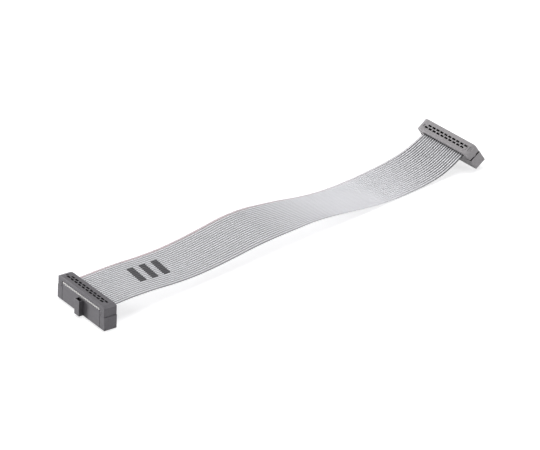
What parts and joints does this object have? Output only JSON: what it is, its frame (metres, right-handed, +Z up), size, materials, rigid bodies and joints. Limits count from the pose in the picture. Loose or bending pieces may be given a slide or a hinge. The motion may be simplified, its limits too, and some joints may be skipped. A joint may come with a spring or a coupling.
{
  "type": "ribbon cable",
  "caption": "Short grey flat cable with a keyed insulation-displacement socket crimped on each end, lying on a table in a low wave.",
  "frame": {"origin": "middle of the whole part's box, at the height of the table it lies on", "axes": "+X along the cable from the dark socket to the light one, +Y across the cable towards the marked edge, +Z up"},
  "size_m": [0.1968, 0.0328, 0.0126],
  "materials": {
    "pvc_insulation": "satin grey PVC, with a faded red first wire and three dark printed bars",
    "dark_plastic": "mid grey moulded glass-filled polyester",
    "light_plastic": "light grey moulded glass-filled polyester",
    "contact_bronze": "stamped phosphor bronze"
  },
  "bodies": {
    "root": {"ribbon_cable": "pvc_insulation", "dark_body": "dark_plastic", "dark_cover": "dark_plastic", "light_body": "light_plastic", "light_cover": "light_plastic", "dark_contact_01": "contact_bronze", "dark_contact_02": "contact_bronze", "dark_contact_03": "contact_bronze", "dark_contact_04": "contact_bronze", "dark_contact_05": "contact_bronze", "dark_contact_06": "contact_bronze", "dark_contact_07": "contact_bronze", "dark_contact_08": "contact_bronze", "dark_contact_09": "contact_bronze", "dark_contact_10": "contact_bronze", "dark_contact_11": "contact_bronze", "dark_contact_12": "contact_bronze", "dark_contact_13": "contact_bronze", "dark_contact_14": "contact_bronze", "dark_contact_15": "contact_bronze", "dark_contact_16": "contact_bronze", "dark_contact_17": "contact_bronze", "dark_contact_18": "contact_bronze", "dark_contact_19": "contact_bronze", "dark_contact_20": "contact_bronze", "light_contact_01": "contact_bronze", "light_contact_02": "contact_bronze", "light_contact_03": "contact_bronze", "light_contact_04": "contact_bronze", "light_contact_05": "contact_bronze", "light_contact_06": "contact_bronze", "light_contact_07": "contact_bronze", "light_contact_08": "contact_bronze", "light_contact_09": "contact_bronze", "light_contact_10": "contact_bronze", "light_contact_11": "contact_bronze", "light_contact_12": "contact_bronze", "light_contact_13": "contact_bronze", "light_contact_14": "contact_bronze", "light_contact_15": "contact_bronze", "light_contact_16": "contact_bronze", "light_contact_17": "contact_bronze", "light_contact_18": "contact_bronze", "light_contact_19": "contact_bronze", "light_contact_20": "contact_bronze"}
  },
  "joints": []
}
